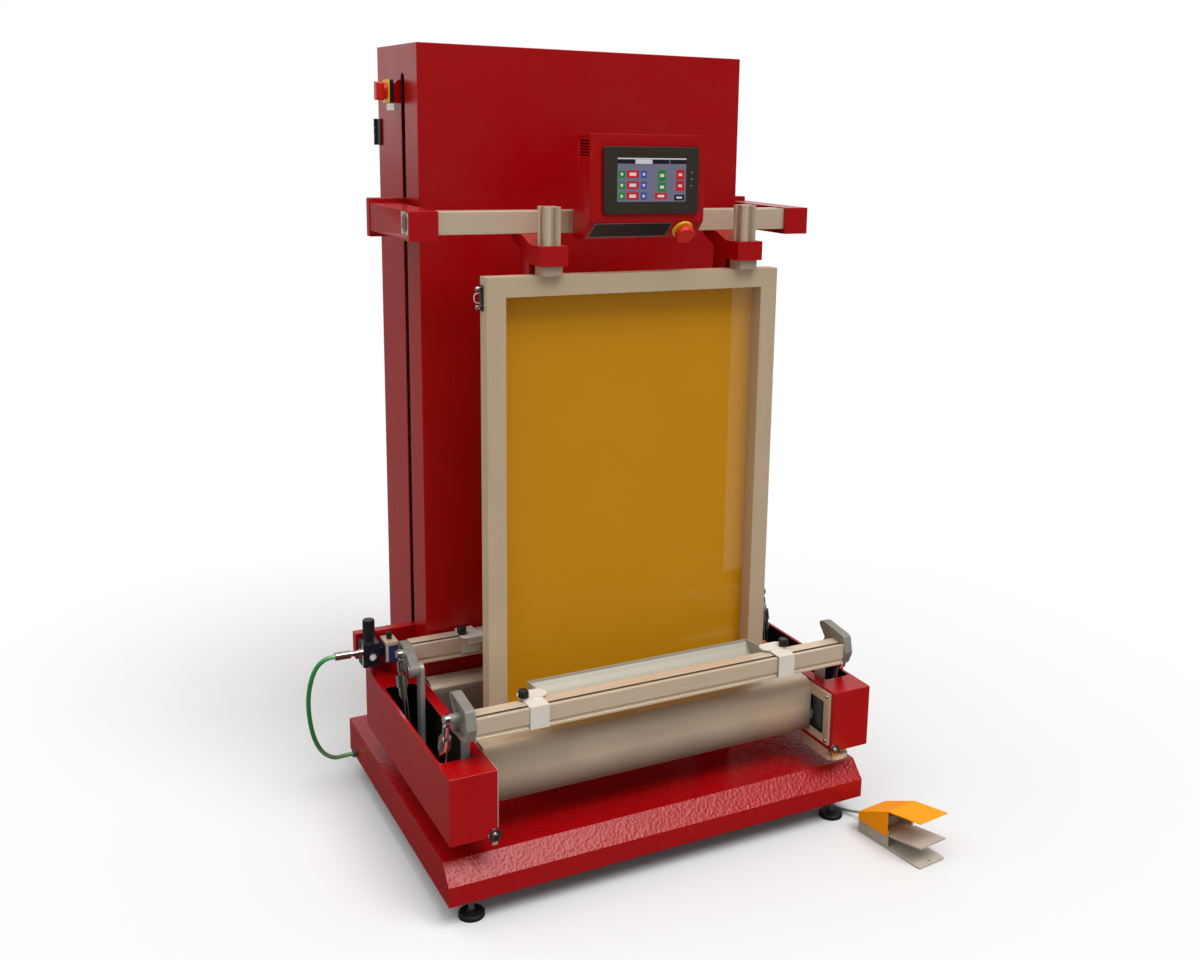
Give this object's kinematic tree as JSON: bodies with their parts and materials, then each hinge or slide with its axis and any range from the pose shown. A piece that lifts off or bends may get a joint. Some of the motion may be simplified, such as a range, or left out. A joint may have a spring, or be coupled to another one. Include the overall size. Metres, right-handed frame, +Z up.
{
  "type": "screen emulsion coater",
  "caption": "Upright automatic coater that holds a framed screen and draws two emulsion troughs up its faces; operator box above, foot pedal beside it.",
  "frame": {"origin": "on the floor under the middle of the whole set, pedal included, hose and cord left out", "axes": "+Z up, +X to the operator's right, +Y from the screen towards the column"},
  "size_m": [1.1857, 1.0018, 1.694],
  "materials": {
    "red_paint": "glossy deep red powder coat",
    "plinth_paint": "hammered deep red powder coat",
    "aluminium": "anodised, satin",
    "cast_aluminium": "cast, matt",
    "steel": "bright zinc",
    "chrome": "polished",
    "black_plastic": "matt black",
    "red_plastic": "glossy red",
    "blue_body": "blue enamel",
    "panel_glass": "black bezel with a lit screen",
    "motor_black": "matt black",
    "control_grey": "grey",
    "mesh_yellow": "yellow polyester mesh, translucent",
    "pedal_grey": "grey, satin",
    "pedal_orange": "orange",
    "hose_green": "green tube",
    "cord_grey": "grey sheath"
  },
  "bodies": {
    "machine": {"base_plinth": "plinth_paint", "column_shell": "red_paint", "door_hinges": "black_plastic", "lift_rails": "steel", "drive_motor": "motor_black", "control_panel": "control_grey", "main_switch": "red_paint", "screen_rests": "red_paint", "pedal_base": "pedal_grey", "pedal_hood": "pedal_orange", "cable_glands": "chrome", "air_hose": "hose_green", "pedal_cord": "cord_grey"},
    "foot_front_left": {"levelling_foot_front_left": "black_plastic"},
    "foot_rear_left": {"levelling_foot_rear_left": "black_plastic"},
    "foot_front_right": {"levelling_foot_front_right": "black_plastic"},
    "foot_rear_right": {"levelling_foot_rear_right": "black_plastic"},
    "door": {"rear_door": "red_paint"},
    "lock": {"door_lock": "chrome"},
    "screw": {"drive_screw": "steel"},
    "main_handle": {"switch_handle": "red_plastic"},
    "treadle": {"pedal_treadle": "pedal_grey"},
    "carriage": {"carriage_crossbar": "red_paint", "carriage_blocks": "steel", "side_boxes": "red_paint", "side_plates": "aluminium", "cross_beams": "aluminium", "air_unit": "blue_body", "air_coupling": "chrome"},
    "pressure_knob": {"regulator_knob": "black_plastic"},
    "valve": {"valve_knob": "black_plastic"},
    "holder": {"holder_plate": "red_paint", "holder_blocks": "steel", "holder_arms": "red_paint", "holder_bar": "aluminium", "operator_box": "red_paint", "touch_panel": "panel_glass"},
    "stop_button": {"estop_button": "red_plastic"},
    "left_clamp": {"left_clamp_bracket": "red_paint"},
    "left_press": {"left_clamp_post": "aluminium"},
    "right_clamp": {"right_clamp_bracket": "red_paint"},
    "right_press": {"right_clamp_post": "aluminium"},
    "screen": {"screen_frame": "aluminium", "screen_mesh": "mesh_yellow"},
    "front_stand": {"front_trolley": "cast_aluminium"},
    "front_coater": {"front_coater_bar": "aluminium", "front_wings": "cast_aluminium", "front_trough": "aluminium"},
    "front_left_thumb": {"front_knob_left": "black_plastic"},
    "front_right_thumb": {"front_knob_right": "black_plastic"},
    "front_cylinders": {"front_barrels": "chrome"},
    "front_pistons": {"front_rods": "steel"},
    "rear_stand": {"rear_trolley": "cast_aluminium"},
    "rear_coater": {"rear_coater_bar": "aluminium", "rear_wings": "cast_aluminium", "rear_trough": "aluminium"},
    "rear_left_thumb": {"rear_knob_left": "black_plastic"},
    "rear_right_thumb": {"rear_knob_right": "black_plastic"},
    "rear_cylinders": {"rear_barrels": "chrome"},
    "rear_pistons": {"rear_rods": "steel"}
  },
  "joints": [
    {"name": "front_left_foot_turn", "type": "hinge", "parent": "machine", "child": "foot_front_left", "pos_m": [-0.42215, -0.23071, 0.005], "axis": [0, 0, 1], "continuous": true},
    {"name": "rear_left_foot_turn", "type": "hinge", "parent": "machine", "child": "foot_rear_left", "pos_m": [-0.42215, 0.43229, 0.005], "axis": [0, 0, 1], "continuous": true},
    {"name": "front_right_foot_turn", "type": "hinge", "parent": "machine", "child": "foot_front_right", "pos_m": [0.44385, -0.23071, 0.005], "axis": [0, 0, 1], "continuous": true},
    {"name": "rear_right_foot_turn", "type": "hinge", "parent": "machine", "child": "foot_rear_right", "pos_m": [0.44385, 0.43229, 0.005], "axis": [0, 0, 1], "continuous": true},
    {"name": "door_swing", "type": "hinge", "parent": "machine", "child": "door", "pos_m": [-0.37415, 0.48909, 0.9], "axis": [0, 0, 1], "range_deg": [0, 110]},
    {"name": "lock_turn", "type": "hinge", "parent": "door", "child": "lock", "pos_m": [0.35085, 0.48229, 0.9], "axis": [0, 1, 0], "range_deg": [0, 90]},
    {"name": "main_switch_turn", "type": "hinge", "parent": "machine", "child": "main_handle", "pos_m": [-0.38915, 0.33329, 1.598], "axis": [1, 0, 0], "range_deg": [0, 90]},
    {"name": "treadle_press", "type": "hinge", "parent": "machine", "child": "treadle", "pos_m": [0.50674, -0.37464, 0.022], "axis": [0.9919, 0.1271, 0], "range_deg": [0, 8], "stiffness_Nm_per_rad": 4, "springref_deg": -6.88},
    {"name": "carriage_lift", "type": "slide", "parent": "machine", "child": "carriage", "axis": [0, 0, 1], "range_m": [0, 0.74]},
    {"name": "screw_turn", "type": "hinge", "parent": "machine", "child": "screw", "pos_m": [0.01085, 0.24229, 0.9], "axis": [0, 0, 1], "continuous": true},
    {"name": "pressure_knob_turn", "type": "hinge", "parent": "carriage", "child": "pressure_knob", "pos_m": [-0.48365, 0.25479, 0.44], "axis": [0, 0, 1], "range_deg": [-170, 170]},
    {"name": "valve_knob_turn", "type": "hinge", "parent": "carriage", "child": "valve", "pos_m": [-0.43815, 0.25479, 0.41], "axis": [0, 0, 1], "range_deg": [-170, 170]},
    {"name": "front_approach", "type": "slide", "parent": "carriage", "child": "front_stand", "axis": [0, 1, 0], "range_m": [0, 0.066]},
    {"name": "front_tilt", "type": "hinge", "parent": "front_stand", "child": "front_coater", "pos_m": [0.01085, -0.17471, 0.385], "axis": [1, 0, 0], "range_deg": [-6, 6]},
    {"name": "front_cylinder_swing", "type": "hinge", "parent": "front_stand", "child": "front_cylinders", "pos_m": [0.01085, -0.15271, 0.225], "axis": [1, 0, 0], "range_deg": [-3, 3]},
    {"name": "front_rod_stroke", "type": "slide", "parent": "front_cylinders", "child": "front_pistons", "axis": [0, -0.2653, 0.9642], "range_m": [-0.005, 0.005]},
    {"name": "front_left_thumb_turn", "type": "hinge", "parent": "front_coater", "child": "front_left_thumb", "pos_m": [-0.30515, -0.21171, 0.44], "axis": [0, 0, 1], "continuous": true},
    {"name": "front_right_thumb_turn", "type": "hinge", "parent": "front_coater", "child": "front_right_thumb", "pos_m": [0.30385, -0.21171, 0.44], "axis": [0, 0, 1], "continuous": true},
    {"name": "rear_approach", "type": "slide", "parent": "carriage", "child": "rear_stand", "axis": [0, -1, 0], "range_m": [0, 0.062]},
    {"name": "rear_tilt", "type": "hinge", "parent": "rear_stand", "child": "rear_coater", "pos_m": [0.01085, 0.10929, 0.385], "axis": [-1, 0, 0], "range_deg": [-6, 6]},
    {"name": "rear_cylinder_swing", "type": "hinge", "parent": "rear_stand", "child": "rear_cylinders", "pos_m": [0.01085, 0.08729, 0.225], "axis": [-1, 0, 0], "range_deg": [-3, 3]},
    {"name": "rear_rod_stroke", "type": "slide", "parent": "rear_cylinders", "child": "rear_pistons", "axis": [0, 0.2653, 0.9642], "range_m": [-0.005, 0.005]},
    {"name": "rear_left_thumb_turn", "type": "hinge", "parent": "rear_coater", "child": "rear_left_thumb", "pos_m": [-0.30515, 0.14629, 0.44], "axis": [0, 0, 1], "continuous": true},
    {"name": "rear_right_thumb_turn", "type": "hinge", "parent": "rear_coater", "child": "rear_right_thumb", "pos_m": [0.30385, 0.14629, 0.44], "axis": [0, 0, 1], "continuous": true},
    {"name": "holder_lift", "type": "slide", "parent": "machine", "child": "holder", "axis": [0, 0, 1], "range_m": [0, 0.22]},
    {"name": "estop_press", "type": "slide", "parent": "holder", "child": "stop_button", "axis": [0, 0.7665, 0.6422], "range_m": [0, 0.005], "stiffness_N_per_m": 600, "springref_m": -0.004},
    {"name": "left_clamp_slide", "type": "slide", "parent": "holder", "child": "left_clamp", "axis": [1, 0, 0], "range_m": [-0.09, 0.036]},
    {"name": "left_press_lift", "type": "slide", "parent": "left_clamp", "child": "left_press", "axis": [0, 0, 1], "range_m": [0, 0.02]},
    {"name": "right_clamp_slide", "type": "slide", "parent": "holder", "child": "right_clamp", "axis": [1, 0, 0], "range_m": [-0.085, 0.028]},
    {"name": "right_press_lift", "type": "slide", "parent": "right_clamp", "child": "right_press", "axis": [0, 0, 1], "range_m": [0, 0.02]},
    {"name": "screen_shift", "type": "slide", "parent": "machine", "child": "screen", "axis": [1, 0, 0], "range_m": [-0.02, 0.02]}
  ],
  "couplings": [
    {"joint": "screw_turn", "follows": "carriage_lift", "rad_per_m": 157.08},
    {"joint": "front_cylinder_swing", "follows": "front_tilt", "ratio": 0.18324},
    {"joint": "front_rod_stroke", "follows": "front_tilt", "m_per_rad": -0.021232},
    {"joint": "rear_cylinder_swing", "follows": "rear_tilt", "ratio": 0.18324},
    {"joint": "rear_rod_stroke", "follows": "rear_tilt", "m_per_rad": -0.021232}
  ]
}
